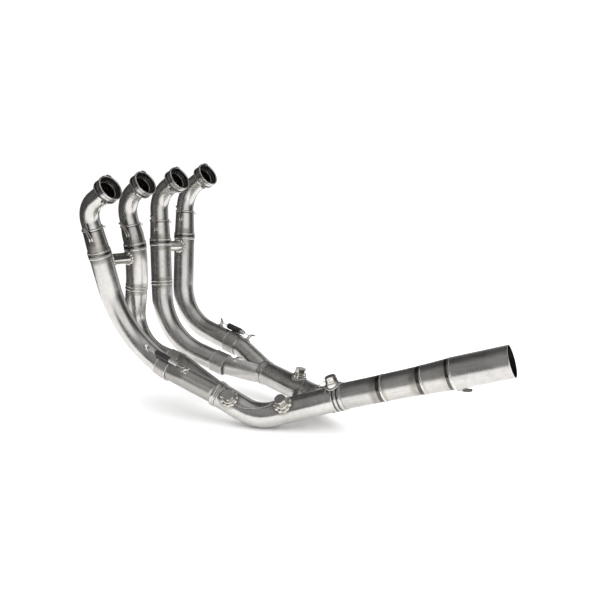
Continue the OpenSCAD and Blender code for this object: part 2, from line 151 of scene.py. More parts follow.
def new_piece(name, verts, faces, material, replaced=(), sharp=38):
    mesh = bpy.data.meshes.new(name)
    mesh.from_pydata((np.asarray(verts) * 0.001).tolist(), [], faces)
    mesh.validate()
    mesh.update()
    for p in mesh.polygons:
        p.use_smooth = True
    mesh.set_sharp_from_angle(angle=math.radians(sharp))
    mesh.materials.append(material)
    ob = bpy.data.objects.new(name, mesh)
    scene.collection.objects.link(ob)
    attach(ob, "root")
    if replaced:
        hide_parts(*replaced)
    return ob


class Shape:
    """Collects vertices and faces of several closed shells."""

    def __init__(self):
        self.v, self.f, self.n = [], [], 0

    def grid(self, pts, wrap_rows=False):
        """pts[row][column][3]: columns close round, rows close too when wrap_rows, else the ends are capped."""
        pts = np.asarray(pts, float)
        n, m = pts.shape[:2]
        b = self.n
        mark = len(self.f)
        self.v.append(pts.reshape(-1, 3))
        self.n += n * m
        rows = n if wrap_rows else n - 1
        for i in range(rows):
            r0, r1 = b + i * m, b + ((i + 1) % n) * m
            for j in range(m):
                k = (j + 1) % m
                self.f.append((r0 + j, r0 + k, r1 + k, r1 + j))
        if not wrap_rows:
            self.f.append(tuple(b + j for j in reversed(range(m))))
            self.f.append(tuple(b + (n - 1) * m + j for j in range(m)))
        # every shell faces outwards
        flat = pts.reshape(-1, 3) - pts.reshape(-1, 3).mean(0)
        vol = 0.0
        for face in self.f[mark:]:
            q = [flat[i - b] for i in face]
            for t in range(1, len(q) - 1):
                vol += q[0] @ np.cross(q[t], q[t + 1])
        if vol < 0:
            self.f[mark:] = [tuple(reversed(face)) for face in self.f[mark:]]

    def piece(self, name, material, replaced=(), sharp=38):
        return new_piece(name, np.concatenate(self.v), self.f, material, replaced, sharp)


def lathe(shape, path, prof, n=72, step=3.0, bulge=None):
    """A closed profile of (s, r) points swept round a bent axis."""
    out = []
    for i in range(len(prof)):
        (s0, r0), (s1, r1) = prof[i], prof[(i + 1) % len(prof)]
        cuts = max(1, int(abs(s1 - s0) / step))
        for c in range(cuts):
            t = c / cuts
            out.append((s0 + (s1 - s0) * t, r0 + (r1 - r0) * t))
    ang = np.arange(n) * 2 * math.pi / n
    rows = []
    for s, r in out:
        rr = np.full(n, float(r))
        if bulge is not None:
            rr = rr + bulge(s, r, ang)
        m = path(s)
        p = np.stack([rr * np.cos(ang), rr * np.sin(ang), np.zeros(n), np.ones(n)])
        rows.append((m @ p)[:3].T)
    shape.grid(rows, wrap_rows=True)


def smooth_line(points, step=0.8, closed=False):
    """A Catmull-Rom curve through points, cut to even steps."""
    p = [np.asarray(q, float) for q in points]
    if closed:
        p = [p[-1]] + p + [p[0], p[1]]
    else:
        p = [2 * p[0] - p[1]] + p + [2 * p[-1] - p[-2]]
    fine = []
    for i in range(1, len(p) - 2):
        a, b, c, d = p[i - 1], p[i], p[i + 1], p[i + 2]
        n = max(4, int(np.linalg.norm(c - b) / 0.4))
        for j in range(n):
            t = j / n
            fine.append(0.5 * (2 * b + (c - a) * t + (2 * a - 5 * b + 4 * c - d) * t * t + (3 * b - a - 3 * c + d) * t ** 3))
    if not closed:
        fine.append(p[-2])
    fine = np.array(fine)
    d = np.concatenate([[0], np.cumsum(np.linalg.norm(np.diff(fine, axis=0), axis=1))])
    n = max(3, int(d[-1] / step))
    t = np.linspace(0, d[-1], n + 1)
    return np.stack([np.interp(t, d, fine[:, i]) for i in range(3)], 1)


def carried_frames(pts, closed=False):
    pts = np.asarray(pts)
    n = len(pts)
    tan = np.zeros_like(pts)
    if closed:
        tan = np.roll(pts, -1, 0) - np.roll(pts, 1, 0)
    else:
        tan[1:-1] = pts[2:] - pts[:-2]
        tan[0], tan[-1] = pts[1] - pts[0], pts[-1] - pts[-2]
    tan /= np.linalg.norm(tan, axis=1)[:, None]
    up = np.array([0.13, 0.21, 0.97])
    if abs(up @ tan[0]) > 0.9:
        up = np.array([0.95, 0.2, 0.1])
    x = unit(up - (up @ tan[0]) * tan[0])
    xs = [x]
    for i in range(1, n):
        x = x - (x @ tan[i]) * tan[i]
        x = unit(x)
        xs.append(x)
    xs = np.array(xs)
    if closed:  # spread the twist evenly, so that the last ring meets the first
        x_end = xs[-1] - (xs[-1] @ tan[0]) * tan[0]
        x_end = unit(x_end)
        y0 = np.cross(tan[0], xs[0])
        twist = math.atan2(x_end @ y0, x_end @ xs[0])
        for i in range(n):
            a = -twist * i / n
            y = np.cross(tan[i], xs[i])
            xs[i] = xs[i] * math.cos(a) + y * math.sin(a)
    ys = np.cross(tan, xs)
    return tan, xs, ys


def wire(shape, pts, r, n=12, closed=False, radii=None, round_ends=True):
    """A round wire along pts. Its open ends are rounded."""
    pts = np.asarray(pts, float)
    if not closed and round_ends:
        t0, t1 = unit(pts[0] - pts[1]), unit(pts[-1] - pts[-2])
        caps = [(0.9, 0.43), (0.6, 0.8), (0.25, 0.97)]
        pts = np.concatenate([[pts[0] + t0 * r * c for c, _ in caps], pts, [pts[-1] + t1 * r * c for c, _ in reversed(caps)]])
        ends = np.array([c for _, c in caps] + [1.0] * (len(pts) - 6) + [c for _, c in reversed(caps)])
    else:
        ends = np.ones(len(pts))
    if radii is not None:
        full = np.ones(len(pts)) * r
        if len(radii) == len(pts):
            full = np.asarray(radii, float)
        else:
            full[3:-3] = radii
            full[:3], full[-3:] = radii[0], radii[-1]
    else:
        full = np.ones(len(pts)) * r
    tan, xs, ys = carried_frames(pts, closed)
    ang = np.arange(n) * 2 * math.pi / n
    rows = []
    for i in range(len(pts)):
        rr = full[i] * ends[i]
        rows.append(pts[i] + rr * (np.cos(ang)[:, None] * xs[i] + np.sin(ang)[:, None] * ys[i]))
    shape.grid(rows, wrap_rows=closed)


def bent_rod(shape, corners, r, fillet=2.5, n=14):
    """A rod through corners with rounded bends."""
    c = [np.asarray(q, float) for q in corners]
    line = [c[0]]
    for i in range(1, len(c) - 1):
        a, b = c[i - 1] - c[i], c[i + 1] - c[i]
        cut = min(fillet, np.linalg.norm(a) * 0.45, np.linalg.norm(b) * 0.45)
        p, q = c[i] + unit(a) * cut, c[i] + unit(b) * cut
        for t in np.linspace(0, 1, 6):
            line.append((1 - t) ** 2 * p + 2 * t * (1 - t) * c[i] + t * t * q)
    line.append(c[-1])
    wire(shape, np.array(line), r, n)


def axis_points(path, s0, s1, step=0.5):
    return np.array([path(s)[:3, 3] for s in np.arange(s0, s1, step)])


def gap_to(points, axis):
    """Distance of each point from a line of points."""
    out = []
    for p in points:
        d = axis - p
        i = int(np.argmin((d * d).sum(1)))
        j0, j1 = max(0, i - 1), min(len(axis) - 1, i + 1)
        a, b = axis[j0], axis[j1]
        u = (b - a) / max(1e-9, np.linalg.norm(b - a))
        w = p - a
        out.append(np.linalg.norm(w - (w @ u) * u))
    return np.array(out)


def saddle(centre, direction, r, axis, skin, t0, t1, n=72):
    """Where a round stub of radius r about a straight axis meets a bent tube's skin."""
    d = unit(np.asarray(direction, float))
    x = unit(np.cross(d, [0.3, 0.2, 0.9]))
    y = np.cross(d, x)
    a = np.arange(n) * 2 * math.pi / n
    base = np.asarray(centre) + r * (np.cos(a)[:, None] * x + np.sin(a)[:, None] * y)
    lo, hi = np.full(n, float(t0)), np.full(n, float(t1))
    for _ in range(18):
        mid = (lo + hi) / 2
        inside = gap_to(base + mid[:, None] * d, axis) < skin
        lo = np.where(inside, mid, lo)
        hi = np.where(inside, hi, mid)
    return base + ((lo + hi) / 2)[:, None] * d


def ripple(n, lobes, low, high, jitter=0.12, seed=3):
    """Radii of a weld bead: overlapping puddles of slightly different size."""
    g = np.random.default_rng(seed)
    t = np.arange(n) / n * lobes
    size = 1 + jitter * g.standard_normal(lobes + 1)
    f = t % 1.0
    puddle = 1 - np.abs(2 * f - 0.9) ** 2.2
    return low + (high - low) * np.clip(puddle, 0, 1) * size[(t.astype(int)) % lobes]


def ring_bead(shape, path, s, r, w, h, lobes, seed, n=180, m=9, half=None):
    """A weld bead round a tube: a flat-bottomed crown with overlapping scales."""
    g = np.random.default_rng(seed)
    ang = np.arange(n) * 2 * math.pi / n
    t = ang / (2 * math.pi) * lobes
    size = 1 + 0.16 * g.standard_normal(lobes)
    off = 0.22 * g.standard_normal(lobes)
    sc = size[t.astype(int) % lobes]
    of = off[t.astype(int) % lobes]
    f = t % 1.0
    rows = []
    for j in range(m + 1):
        u = -1 + 2 * j / m
        crown = np.sqrt(max(0.0, 1 - u * u))
        # each scale's front edge is an arc, as in a pushed puddle
        phase = (f + 0.35 * u * u) % 1.0
        lift = h * crown * (0.72 + 0.28 * np.sin(np.pi * phase) ** 0.7) * sc
        ss = s + u * w / 2 * (1 + 0.08 * np.sin(2 * np.pi * phase)) + of * 0.35
        m0 = [path(q) for q in (s - w, s + w)]
        pos = []
        for i in range(n):
            k = (ss[i] - (s - w)) / (2 * w)
            fr = m0[0] * (1 - k) + m0[1] * k
            rr = r + lift[i] - 0.15
            pos.append((fr @ np.array([rr * math.cos(ang[i]), rr * math.sin(ang[i]), 0, 1]))[:3])
        rows.append(pos)
    # close underneath, just inside the skin
    for u in (0.9, -0.9):
        m1 = path(s + u * w / 2)
        rr = r - 0.6
        rows.append([(m1 @ np.array([rr * math.cos(a), rr * math.sin(a), 0, 1]))[:3] for a in ang])
    shape.grid(rows, wrap_rows=True)


# ---------------------------------------------------------------- materials
def clear(name):
    m = bpy.data.materials.new(name)
    m.use_nodes = True
    nt = m.node_tree
    nt.nodes.clear()
    out = nt.nodes.new("ShaderNodeOutputMaterial")
    bsdf = nt.nodes.new("ShaderNodeBsdfPrincipled")
    nt.links.new(bsdf.outputs["BSDF"], out.inputs["Surface"])
    return m, nt, bsdf


def node(nt, kind, **kw):
    n = nt.nodes.new(kind)
    for k, v in kw.items():
        setattr(n, k, v)
    return n


def noise(nt, vec, scale, detail=4.0, rough=0.55, stretch=None):
    if stretch is not None:
        mp = node(nt, "ShaderNodeMapping")
        mp.inputs["Scale"].default_value = stretch
        nt.links.new(vec, mp.inputs["Vector"])
        vec = mp.outputs["Vector"]
    n = node(nt, "ShaderNodeTexNoise")
    n.inputs["Scale"].default_value = scale
    n.inputs["Detail"].default_value = detail
    n.inputs["Roughness"].default_value = rough
    nt.links.new(vec, n.inputs["Vector"])
    return n.outputs["Fac"]


def math_node(nt, op, a, b=None, c=None):
    n = node(nt, "ShaderNodeMath", operation=op)
    for i, v in enumerate((a, b, c)):
        if v is None:
            continue
        if hasattr(v, "links"):
            nt.links.new(v, n.inputs[i])
        else:
            n.inputs[i].default_value = v
    return n.outputs[0]


def ramp(nt, fac, stops):
    r = node(nt, "ShaderNodeValToRGB")
    el = r.color_ramp.elements
    while len(el) < len(stops):
        el.new(0.5)
    for e, (p, c) in zip(el, stops):
        e.position = p
        e.color = (c[0], c[1], c[2], 1)
    nt.links.new(fac, r.inputs["Fac"])
    return r.outputs["Color"]


def mix_col(nt, fac, a, b, blend="MIX"):
    n = node(nt, "ShaderNodeMix", data_type="RGBA", blend_type=blend)
    if hasattr(fac, "links"):
        nt.links.new(fac, n.inputs[0])
    else:
        n.inputs[0].default_value = fac
    for i, v in ((6, a), (7, b)):
        if hasattr(v, "links"):
            nt.links.new(v, n.inputs[i])
        else:
            n.inputs[i].default_value = (v[0], v[1], v[2], 1)
    return n.outputs[2]


def map_range(nt, v, a, b, c, d, smooth=False):
    n = node(nt, "ShaderNodeMapRange")
    if smooth:
        n.interpolation_type = "SMOOTHSTEP"
    nt.links.new(v, n.inputs["Value"])
    n.inputs["From Min"].default_value = a
    n.inputs["From Max"].default_value = b
    n.inputs["To Min"].default_value = c
    n.inputs["To Max"].default_value = d
    return n.outputs["Result"]


def heat_field(nt, vec, centres):
    """1 close to the given weld centres (row frame, mm), fading over their own widths."""
    total = None
    for c, inner, outer in centres:
        d = node(nt, "ShaderNodeVectorMath", operation="DISTANCE")
        nt.links.new(vec, d.inputs[0])
        d.inputs[1].default_value = (c[0] * 0.001, c[1] * 0.001, c[2] * 0.001)
        v = map_range(nt, d.outputs["Value"], inner * 0.001, outer * 0.001, 1.0, 0.0, True)
        total = v if total is None else math_node(nt, "MAXIMUM", total, v)
    return total


def metal(name, base, rough, spread=0.10, streak=None, bump=0.25, welds=None, dark=0.0, bore=None):
    """Satin metal: cloudy tone, fine grain, streaks of the belt, and heat colour near the welds."""
    m, nt, bsdf = clear(name)
    tc = node(nt, "ShaderNodeTexCoord")
    vec = tc.outputs["Object"]
    cloud = noise(nt, vec, 26, 5, 0.62)
    fine = noise(nt, vec, 900, 3, 0.6)
    mid = noise(nt, vec, 140, 4, 0.65)
    lo = [b * (1 - spread) for b in base]
    hi = [min(1, b * (1 + spread * 0.8)) for b in base]
    col = ramp(nt, cloud, [(0.32, lo), (0.52, base), (0.72, hi)])
    speck = ramp(nt, mid, [(0.30, (0.86, 0.85, 0.84)), (0.55, (1, 1, 1))])
    col = mix_col(nt, 0.75, col, speck, "MULTIPLY")
    grain = None
    if streak is not None:
        # fine lines along the piece's own axis
        ax = unit(np.array(streak, float))
        s1 = unit(np.cross(ax, [0.1, 0.2, 0.9]))
        s2 = np.cross(ax, s1)
        parts = node(nt, "ShaderNodeCombineXYZ")
        for i_, (v_, sc_) in enumerate(((ax, 14), (s1, 620), (s2, 620))):
            dp = node(nt, "ShaderNodeVectorMath", operation="DOT_PRODUCT")
            nt.links.new(vec, dp.inputs[0])
            dp.inputs[1].default_value = tuple(v_ * sc_)
            nt.links.new(dp.outputs["Value"], parts.inputs[i_])
        grain = noise(nt, parts.outputs[0], 1.0, 3, 0.6)
        lines = ramp(nt, grain, [(0.32, (0.74, 0.735, 0.73)), (0.5, (0.95, 0.95, 0.95)), (0.68, (1, 1, 1))])
        col = mix_col(nt, 0.8, col, lines, "MULTIPLY")
    if welds:
        heat = heat_field(nt, vec, welds)
        wobble = math_node(nt, "MULTIPLY", heat, map_range(nt, noise(nt, vec, 70, 4, 0.6), 0.3, 0.7, 0.55, 1.15))
        tintc = ramp(nt, wobble, [(0.0, base), (0.35, (0.50, 0.46, 0.38)), (0.62, (0.34, 0.31, 0.25)), (0.82, (0.26, 0.25, 0.23)), (1.0, (0.20, 0.19, 0.18))])
        amount = map_range(nt, wobble, 0.12, 0.9, 0.0, 0.72)
        col = mix_col(nt, amount, col, tintc)
    if dark:
        grime = noise(nt, vec, 60, 6, 0.7)
        col = mix_col(nt, map_range(nt, grime, 0.5, 0.72, 0.0, dark), col, (0.07, 0.065, 0.06))
    if bore is not None:
        # the inside of a tube, darkened partly as soot and partly as painted shade: closer to its straight axis than
        # the bore's radius
        c0_, ax_, rb_ = bore
        rel = node(nt, "ShaderNodeVectorMath", operation="SUBTRACT")
        nt.links.new(vec, rel.inputs[0])
        rel.inputs[1].default_value = tuple(np.array(c0_) * 0.001)
        cx = node(nt, "ShaderNodeVectorMath", operation="CROSS_PRODUCT")
        nt.links.new(rel.outputs["Vector"], cx.inputs[0])
        cx.inputs[1].default_value = tuple(unit(np.array(ax_, float)))
        ln_ = node(nt, "ShaderNodeVectorMath", operation="LENGTH")
        nt.links.new(cx.outputs["Vector"], ln_.inputs[0])
        inner = map_range(nt, ln_.outputs["Value"], (rb_ - 0.15) * 0.001, (rb_ + 0.15) * 0.001, 1.0, 0.0)
        col = mix_col(nt, math_node(nt, "MULTIPLY", inner, 0.93), col, (0.075, 0.07, 0.066))
    nt.links.new(col, bsdf.inputs["Base Color"])
    bsdf.inputs["Metallic"].default_value = 1.0
    r = math_node(nt, "ADD", map_range(nt, cloud, 0.3, 0.7, rough - 0.05, rough + 0.06), map_range(nt, fine, 0.3, 0.7, -0.04, 0.05))
    if welds:
        r = math_node(nt, "ADD", r, map_range(nt, heat, 0.3, 1.0, 0.0, 0.10))
    nt.links.new(r, bsdf.inputs["Roughness"])
    bmp = node(nt, "ShaderNodeBump")
    bmp.inputs["Strength"].default_value = bump
    bmp.inputs["Distance"].default_value = 0.00022
    h = math_node(nt, "ADD", math_node(nt, "MULTIPLY", mid, 0.6), math_node(nt, "MULTIPLY", fine, 0.4))
    if streak is not None:
        h = math_node(nt, "ADD", h, math_node(nt, "MULTIPLY", grain, 0.9))
    nt.links.new(h, bmp.inputs["Height"])
    nt.links.new(bmp.outputs["Normal"], bsdf.inputs["Normal"])
    return m


weld_spots = []
for k in (1, 2, 3, 4):
    c = tube(k)(weld_s[k - 1])[:3, 3]
    weld_spots.append((c, 20.5, 27))
for k in (2, 3):
    weld_spots.append((tube(k)(head_s[k - 1])[:3, 3], 19.5, 24))
bal_a, bal_b = path_a(140)[:3, 3], path_b(86)[:3, 3]
cr = [tube(k)(cross_s[k - 1])[:3, 3] for k in (1, 2, 3, 4)]
for i, j in ((0, 1), (2, 3)):
    u = unit(cr[j] - cr[i])
    weld_spots += [(cr[i] + u * 18, 8, 30), (cr[j] - u * 18, 8, 30)]
boss_spots = []
boss_s, boss_a = [24, 126, 78, -4], [228, 56, 171, 184]
boss_r = [R2, R2, R2, 22.6]
boss_path = [path_a, path_a, path_b, path_t]
for b in range(4):
    boss_spots.append((pt(boss_path[b], boss_s[b], boss_a[b], boss_r[b]), 15, 25))
tail_spots = [(path_t(s)[:3, 3], 22.5, 29) for s in (71, 137, 184)]

ti = (0.60, 0.585, 0.565)
mat_head = metal("titanium_header", ti, 0.23, 0.12, welds=weld_spots, bump=0.22)
mat_sleeve = metal("titanium_sleeve", (0.46, 0.445, 0.425), 0.20, 0.16, welds=weld_spots[:4], bump=0.22)
mat_low = metal("titanium_secondary", ti, 0.23, 0.12, welds=boss_spots, bump=0.22)
mat_tail = metal("titanium_tail", (0.60, 0.585, 0.565), 0.31, 0.12, welds=tail_spots, bump=0.25, streak=(0.9326, 0.1561, 0.3256))
mat_outlet = metal("titanium_outlet", (0.60, 0.585, 0.565), 0.31, 0.12, welds=tail_spots[2:], bump=0.25, streak=(0.9326, 0.1561, 0.3256), bore=(path_t(0)[:3, 3], path_t(0)[:3, 2], 24.45))
mat_machined = metal("machined_titanium", (0.64, 0.625, 0.605), 0.21, 0.08, bump=0.12)
mat_satin_band = metal("satin_band", (0.54, 0.525, 0.505), 0.42, 0.10, bump=0.2)
# painted reflection: collector A's titanium gets a darker base colour for the dark surroundings it reflects
mat_inlet_painted_reflection = metal("inlet_painted_dark_reflection", (0.40, 0.385, 0.365), 0.30, 0.14, welds=boss_spots, bump=0.25)
mat_loop = metal("hook_loop", (0.62, 0.605, 0.58), 0.14, 0.2, bump=0.15, dark=0.3)
mat_weld = metal("weld_bead", (0.70, 0.685, 0.65), 0.14, 0.2, bump=0.12, dark=0.45)
mat_hook = metal("hook_rod", (0.17, 0.16, 0.15), 0.2, 0.2, bump=0.2, dark=0.2)
mat_steel = metal("spring_wire", (0.74, 0.73, 0.72), 0.12, 0.1, bump=0.08)
mat_cross = metal("crossover_titanium", (0.62, 0.60, 0.57), 0.20, 0.22, bump=0.3, dark=0.35)
mat_plug = metal("plug_steel", (0.60, 0.585, 0.555), 0.19, 0.10, bump=0.1, dark=0.12)
mat_washer = metal("washer_copper", (0.46, 0.39, 0.32), 0.28, 0.14, bump=0.15, dark=0.15)
mat_wire = metal("lockwire", (0.58, 0.57, 0.56), 0.22, 0.1, bump=0.05)


def bore_soot_and_shade_material():
    """Machined titanium outside; inside the bore it is darkened, by how far a point is from the cup's axis: the dark
    colour is partly soot and partly painted shade of the bore.
    """
    m, nt, bsdf = clear("cup_titanium")
    tc = node(nt, "ShaderNodeTexCoord")
    vec = tc.outputs["Object"]
    inside = None
    axis = first(head_o(1))[:3, 2]
    for k in range(4):
        rel = node(nt, "ShaderNodeVectorMath", operation="SUBTRACT")
        nt.links.new(vec, rel.inputs[0])
        rel.inputs[1].default_value = (0, port_y[k] * 0.001, 0)
        dot = node(nt, "ShaderNodeVectorMath", operation="DOT_PRODUCT")
        nt.links.new(rel.outputs["Vector"], dot.inputs[0])
        dot.inputs[1].default_value = tuple(axis)
        along = dot.outputs["Value"]
        ln = node(nt, "ShaderNodeVectorMath", operation="LENGTH")
        nt.links.new(rel.outputs["Vector"], ln.inputs[0])
        r2 = math_node(nt, "SUBTRACT", math_node(nt, "POWER", ln.outputs["Value"], 2.0), math_node(nt, "POWER", along, 2.0))
        rad = math_node(nt, "SQRT", math_node(nt, "MAXIMUM", r2, 0.0))
        v = map_range(nt, rad, 0.01925, 0.01965, 1.0, 0.0)
        # only this cup's own neighbourhood, and only the bore
        v = math_node(nt, "MULTIPLY", v, map_range(nt, along, 0.0048, 0.0052, 1.0, 0.0))
        # the narrow inner bore further in, darkened the same way, as soot and painted shade
        thin = math_node(nt, "MULTIPLY", map_range(nt, rad, 0.0149, 0.0153, 1.0, 0.0), map_range(nt, along, 0.040, 0.044, 1.0, 0.0))
        v = math_node(nt, "MAXIMUM", v, thin)
        inside = v if inside is None else math_node(nt, "MAXIMUM", inside, v)
    cloud = noise(nt, vec, 30, 5, 0.62)
    fine = noise(nt, vec, 900, 3, 0.6)
    mid = noise(nt, vec, 160, 4, 0.65)
    clean = ramp(nt, cloud, [(0.3, (0.46, 0.445, 0.425)), (0.55, (0.58, 0.565, 0.545)), (0.75, (0.66, 0.645, 0.625))])
    grime = math_node(nt, "MULTIPLY", map_range(nt, mid, 0.42, 0.66, 0.0, 0.45), 1.0)
    clean = mix_col(nt, grime, clean, (0.20, 0.19, 0.18))
    # painted shade: the bore's near-black colour stands partly for soot and partly for the shade inside the bore
    soot_and_shade_colour = ramp(nt, mid, [(0.3, (0.05, 0.047, 0.044)), (0.55, (0.12, 0.113, 0.106)), (0.75, (0.26, 0.25, 0.235))])
    col = mix_col(nt, inside, clean, soot_and_shade_colour)
    nt.links.new(col, bsdf.inputs["Base Color"])
    bsdf.inputs["Metallic"].default_value = 1.0
    r = math_node(nt, "ADD", map_range(nt, cloud, 0.3, 0.7, 0.17, 0.27), math_node(nt, "MULTIPLY", inside, 0.16))
    nt.links.new(r, bsdf.inputs["Roughness"])
    bmp = node(nt, "ShaderNodeBump")
    bmp.inputs["Strength"].default_value = 0.15
    bmp.inputs["Distance"].default_value = 0.0002
    nt.links.new(math_node(nt, "ADD", mid, fine), bmp.inputs["Height"])
    nt.links.new(bmp.outputs["Normal"], bsdf.inputs["Normal"])
    return m


def rubber_material():
    m, nt, bsdf = clear("damper_rubber")
    tc = node(nt, "ShaderNodeTexCoord")
    vec = tc.outputs["Object"]
    cloud = noise(nt, vec, 120, 4, 0.6)
    fine = noise(nt, vec, 1600, 3, 0.6)
    col = ramp(nt, cloud, [(0.3, (0.010, 0.010, 0.010)), (0.6, (0.020, 0.020, 0.020)), (0.8, (0.045, 0.043, 0.04))])
    nt.links.new(col, bsdf.inputs["Base Color"])
    nt.links.new(map_range(nt, cloud, 0.3, 0.7, 0.30, 0.46), bsdf.inputs["Roughness"])
    bmp = node(nt, "ShaderNodeBump")
    bmp.inputs["Strength"].default_value = 0.2
    bmp.inputs["Distance"].default_value = 0.0002
    nt.links.new(fine, bmp.inputs["Height"])
    nt.links.new(bmp.outputs["Normal"], bsdf.inputs["Normal"])
    return m


mat_cup = bore_soot_and_shade_material()
mat_rubber = rubber_material()


def oxide_and_shadow_material():
    """Dark oxide at the tail joints and in the collector band's grooves; the same near-black also stands as painted
    shadow under the stub lips and in the cup grooves, and as painted shade on the swage crowns.
    """
    return metal("oxide_and_painted_shade", (0.11, 0.105, 0.10), 0.16, 0.25, bump=0.3)


mat_dark = oxide_and_shadow_material()


def dress(name, material):
    ob = nodes[name]
    ob.data.materials.clear()
    ob.data.materials.append(material)


for k in (1, 2, 3, 4):
    dress(f"port_cup_{k}", mat_cup)
    dress(f"stub_elbow_{k}", mat_head)
    dress(f"upper_sleeve_{k}", mat_sleeve if k < 3 else mat_head)
    dress(f"primary_tube_{k}", mat_head)
    dress(f"lower_sleeve_{k}", mat_satin_band)
for n_, m_ in (
    ("primary_head_2", mat_head), ("primary_head_3", mat_head), ("crossover_12", mat_cross), ("crossover_34", mat_cross),
    ("collector_a", mat_inlet_painted_reflection), ("collector_b", mat_low), ("secondary_a", mat_low), ("secondary_b", mat_low),
    ("balance_tube", mat_low), ("final_collector", mat_low), ("tail_inlet", mat_tail), ("tail_cone_1", mat_tail),
    ("tail_cone_2", mat_tail), ("outlet_tube", mat_outlet), ("upper_lugs", mat_machined), ("sensor_bosses", mat_machined),
    ("boss_plugs", mat_plug), ("crush_washers", mat_washer),
):
    dress(n_, m_)

# ---------------------------------------------------------------- stub lips and upper joints
for k in (1, 2, 3, 4):
    f = tube(k)
    s = lip_s[k - 1]
    sh = Shape()
    r = RS + (0.68 if k == 4 else 1.2)
    prof = [(s - 3.4, r - 0.9), (s - 3.2, r - 0.1), (s - 2.6, r + 0.7), (s - 1.5, r + 1.05), (s - 0.4, r + 0.75), (s - 0.1, r), (s - 0.1, r - 0.9)]
    lathe(sh, f, prof, n=96, step=1, bulge=lambda ss, rr, a: 0.05 * np.sin(7 * a + ss))
    sh.piece(f"stub_lip_{k}", mat_machined)
    # painted shadow: thin dark rings just under the stub lip and in the grooves of the cup, where shade falls
    sh = Shape()
    lathe(sh, f, [(s + 0.1, RS + 0.9), (s + 0.1, RS + 1.12), (s + 1.7, RS + 1.14), (s + 1.9, RS + 0.9)], n=96, step=1)
    lathe(sh, f, [(-2.7, 20.6), (-2.7, 21.08), (-1.5, 21.08), (-1.5, 20.6)], n=96, step=1)
    lathe(sh, f, [(3.4, 20.6), (3.4, 21.08), (4.5, 21.05), (4.5, 20.6)], n=96, step=1)
    sh.piece(f"joint_shadow_{k}", mat_dark)
    sh = Shape()
    lathe(sh, f, [(-6.15, 20.2), (-6.3, 20.9), (-6.0, 21.5), (-5.4, 21.78), (-3.9, 21.78), (-3.2, 21.5), (-3.1, 21.2), (-4.5, 20.8), (-5.6, 20.0)], n=96, step=1)
    lathe(sh, f, [(3.2, 14.75), (3.0, 15.1), (3.2, 15.6), (4.1, 15.9), (4.5, 15.3), (4.3, 14.7)], n=80, step=1)
    lathe(sh, f, [(7.1, 20.6), (7.1, 21.3), (7.7, 21.5), (9.7, 21.5), (10.3, 21.2), (10.3, 20.4)], n=96, step=1)
    sh.piece(f"cup_rings_{k}", mat_machined)

    # the swaged band under each sleeve: a raised ring between two weld lines
    w = weld_s[k - 1]
    sh = Shape()
    prof = [(w - 5.2, RP - 0.4), (w - 5.0, RP + 0.15), (w - 3.6, RP + 0.75), (w - 1.4, RP + 0.85), (w + 1.4, RP + 0.85), (w + 3.6, RP + 0.75), (w + 5.0, RP + 0.15), (w + 5.2, RP - 0.4)]
    g = np.random.default_rng(20 + k)
    ph = g.uniform(0, 6.28, 4)
    lathe(sh, f, prof, n=120, step=0.8, bulge=lambda ss, rr, a: (0.07 * np.sin(3 * a + ph[0]) + 0.05 * np.sin(8 * a + ph[1] + ss)) if rr > RP else 0 * a)
    sh.piece(f"swage_ring_{k}", mat_sleeve if k < 3 else mat_head)
    # painted shade: a dark band laid on the swage ring's crown for the shade of its middle groove
    sh = Shape()
    lathe(sh, f, [(w - 1.6, RP + 0.6), (w - 1.5, RP + 0.93), (w + 1.3, RP + 0.93), (w + 1.4, RP + 0.6)], n=96, step=1)
    sh.piece(f"swage_painted_shade_{k}", mat_dark)
    sh = Shape()
    ring_bead(sh, f, w - 4.6, RP + 0.05, 3.0, 1.0, 34, 40 + k)
    ring_bead(sh, f, w + 4.6, RP + 0.05, 3.0, 1.0, 34, 50 + k)
    sh.piece(f"sleeve_weld_{k}", mat_weld)
for k in (2, 3):
    f = tube(k)
    w = head_s[k - 1]
    sh = Shape()
    ring_bead(sh, f, w - 2.8, RP, 2.6, 0.9, 34, 60 + k)
    ring_bead(sh, f, w + 2.8, RP, 2.8, 1.0, 34, 70 + k)
    sh.piece(f"head_weld_{k}", mat_weld)

# ---------------------------------------------------------------- crossovers: saddle welds at both ends
for name, k, j in (("crossover_weld_12", 1, 2), ("crossover_weld_34", 3, 4)):
    a, b = cr[k - 1], cr[j - 1]
    u = unit(b - a)
    L = np.linalg.norm(b - a)
    sh = Shape()
    for c, d, kk, sd in ((a, u, k, 5), (b, -u, j, 9)):
        ax = axis_points(tube(kk), cross_s[kk - 1] - 40, cross_s[kk - 1] + 40)
        line = saddle(c, d, 9.9, ax, RP + 0.2, 6, 30, 96)
        wire(sh, line, 1.6, 12, closed=True, radii=ripple(96, 13, 1.5, 3.0, 0.2, sd + k))
    sh.piece(name, mat_weld)

# ---------------------------------------------------------------- balance tube welds
sh = Shape()
u = unit(bal_b - bal_a)
for c, d, f, s, sd in ((bal_a, u, path_a, 140, 21), (bal_b, -u, path_b, 86, 22)):
    ax = axis_points(f, s - 45, s + 45)
    line = saddle(c, d, 11.8, ax, R2 + 0.2, 6, 45, 96)
    wire(sh, line, 1.4, 12, closed=True, radii=ripple(96, 18, 1.0, 1.7, 0.12, sd))
sh.piece("balance_tube_weld", mat_weld)

